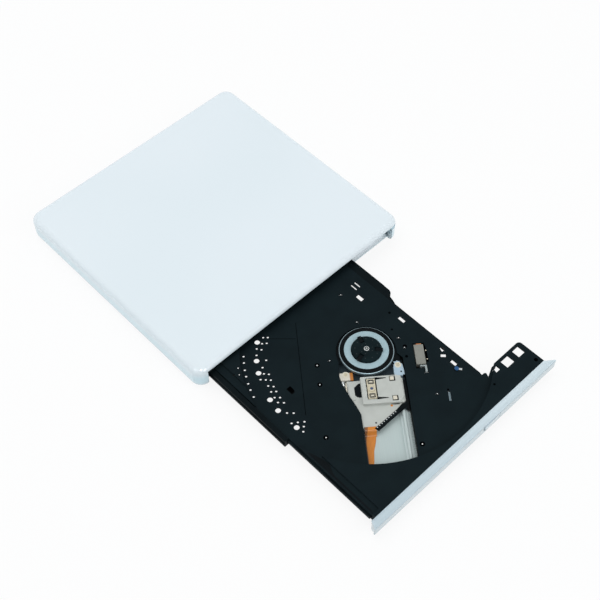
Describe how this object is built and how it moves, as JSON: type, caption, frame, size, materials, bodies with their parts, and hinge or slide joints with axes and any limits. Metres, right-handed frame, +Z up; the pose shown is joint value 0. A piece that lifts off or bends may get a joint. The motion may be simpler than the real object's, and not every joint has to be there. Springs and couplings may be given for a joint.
{
  "type": "external disc drive",
  "caption": "Slim square table-top disc drive with a pull-out tray: white rounded case, black drawer on telescoping rails, spindle with centring claws and a slanted sliding pickup.",
  "frame": {"origin": "middle of the shut drive's footprint, on the table", "axes": "+X to the right seen from the front, +Y to the back, +Z up; the drawer comes out along -Y"},
  "size_m": [0.1376, 0.2441, 0.014],
  "materials": {
    "white_gloss": "glossy white moulding",
    "white_satin": "satin white moulding",
    "foot_rubber": "soft dark rubber",
    "black_moulding": "fine textured black moulding",
    "rail_black": "smooth black moulding",
    "sheet_steel": "plain stamped sheet",
    "screw_steel": "bright plated steel",
    "board_green": "solder mask over laminate",
    "chip_black": "moulded chip packages",
    "pale_plastic": "pale connector plastic",
    "cable_film": "pale film with printed tracks",
    "flex_orange": "orange film with copper tracks",
    "cast_zinc": "bead blasted casting",
    "table_grey": "turned and blasted aluminium",
    "clamp_pale": "pale grey ring",
    "disc_rubber": "soft black rubber",
    "hub_black": "textured black moulding",
    "lens_glass": "coated optical plastic",
    "holder_grey": "grey moulding",
    "solenoid_steel": "plated can",
    "coil_copper": "copper wire",
    "cap_blue": "blue moulding",
    "motor_dark": "dark stator stack"
  },
  "bodies": {
    "case": {"top_cover": "white_gloss", "bottom_case": "white_satin", "rubber_feet": "foot_rubber", "case_screws": "screw_steel", "lower_chassis": "sheet_steel", "top_plate": "sheet_steel", "chassis_screws": "screw_steel", "main_board": "board_green", "main_board_chips": "chip_black", "main_board_screws": "screw_steel", "main_connector": "pale_plastic", "usb_socket": "sheet_steel", "left_guide": "rail_black", "right_guide": "rail_black", "lock_pin": "screw_steel", "flat_cable": "cable_film"},
    "left_rail": {"left_rail": "rail_black"},
    "right_rail": {"right_rail": "rail_black"},
    "drawer": {"tray": "black_moulding", "front_bezel": "white_gloss", "switch_board": "board_green", "eject_switch": "chip_black", "deck_screws": "screw_steel", "drawer_board": "board_green", "drawer_chips": "chip_black", "drawer_connector": "pale_plastic", "drawer_board_screws": "screw_steel", "mechanism_cover": "sheet_steel", "cover_screws": "screw_steel", "traverse_frame": "sheet_steel", "guide_rods": "screw_steel", "rod_clamps": "cast_zinc", "clamp_screws": "screw_steel", "stepper_motor": "sheet_steel", "spindle_motor": "motor_dark", "pickup_flex": "flex_orange", "solenoid": "solenoid_steel", "solenoid_coil": "coil_copper"},
    "button": {"eject_button": "white_satin"},
    "rotor": {"turntable": "table_grey", "rubber_ring": "disc_rubber", "clamp_ring": "clamp_pale", "hub": "hub_black", "spindle_shaft": "screw_steel"},
    "claw_a": {"claw_a": "hub_black"},
    "claw_b": {"claw_b": "hub_black"},
    "claw_c": {"claw_c": "hub_black"},
    "lead_screw": {"lead_screw": "screw_steel"},
    "pickup": {"pickup_body": "cast_zinc", "pickup_cover": "cast_zinc", "nut_follower": "pale_plastic"},
    "lens": {"lens_holder": "holder_grey", "lens": "lens_glass"},
    "plunger": {"solenoid_plunger": "screw_steel"},
    "latch": {"latch_lever": "screw_steel", "latch_cap": "cap_blue"}
  },
  "joints": [
    {"name": "tray_slide", "type": "slide", "parent": "case", "child": "drawer", "axis": [0, 1, 0], "range_m": [0, 0.1068], "deforming": ["flat_cable"]},
    {"name": "left_rail_slide", "type": "slide", "parent": "case", "child": "left_rail", "axis": [0, 1, 0], "range_m": [0, 0.0534]},
    {"name": "right_rail_slide", "type": "slide", "parent": "case", "child": "right_rail", "axis": [0, 1, 0], "range_m": [0, 0.0534]},
    {"name": "eject_button_press", "type": "slide", "parent": "drawer", "child": "button", "axis": [0, 1, 0], "range_m": [0, 0.0005], "stiffness_N_per_m": 1200},
    {"name": "spindle_spin", "type": "hinge", "parent": "drawer", "child": "rotor", "pos_m": [0.0006, -0.1086, 0.0092], "axis": [0, 0, 1], "continuous": true},
    {"name": "claw_a_slide", "type": "slide", "parent": "rotor", "child": "claw_a", "axis": [-0.2924, -0.9563, 0], "range_m": [0, 0.0004], "stiffness_N_per_m": 1500},
    {"name": "claw_b_slide", "type": "slide", "parent": "rotor", "child": "claw_b", "axis": [0.9744, 0.225, 0], "range_m": [0, 0.0004], "stiffness_N_per_m": 1500},
    {"name": "claw_c_slide", "type": "slide", "parent": "rotor", "child": "claw_c", "axis": [-0.682, 0.7314, 0], "range_m": [0, 0.0004], "stiffness_N_per_m": 1500},
    {"name": "pickup_slide", "type": "slide", "parent": "drawer", "child": "pickup", "axis": [-0.6293, -0.7771, 0], "range_m": [0, 0.036], "deforming": ["pickup_flex"]},
    {"name": "lead_screw_spin", "type": "hinge", "parent": "drawer", "child": "lead_screw", "pos_m": [-0.01894, -0.11208, 0.0058], "axis": [-0.6293, -0.7771, 0], "range_deg": [-1, 4322]},
    {"name": "lens_focus", "type": "slide", "parent": "pickup", "child": "lens", "axis": [0, 0, 1], "range_m": [-0.0003, 0.0003], "stiffness_N_per_m": 100},
    {"name": "latch_swing", "type": "hinge", "parent": "drawer", "child": "latch", "pos_m": [0.0245, -0.145, 0.003], "axis": [0, 0, -1], "range_deg": [0, 12.1]},
    {"name": "plunger_slide", "type": "slide", "parent": "drawer", "child": "plunger", "axis": [-0.6293, -0.7771, 0], "range_m": [-0.0006, 0]}
  ],
  "couplings": [
    {"joint": "left_rail_slide", "follows": "tray_slide", "ratio": 0.5},
    {"joint": "right_rail_slide", "follows": "tray_slide", "ratio": 0.5},
    {"joint": "lead_screw_spin", "follows": "pickup_slide", "rad_per_m": 2094.4},
    {"joint": "latch_swing", "follows": "plunger_slide", "rad_per_m": -349.07}
  ]
}
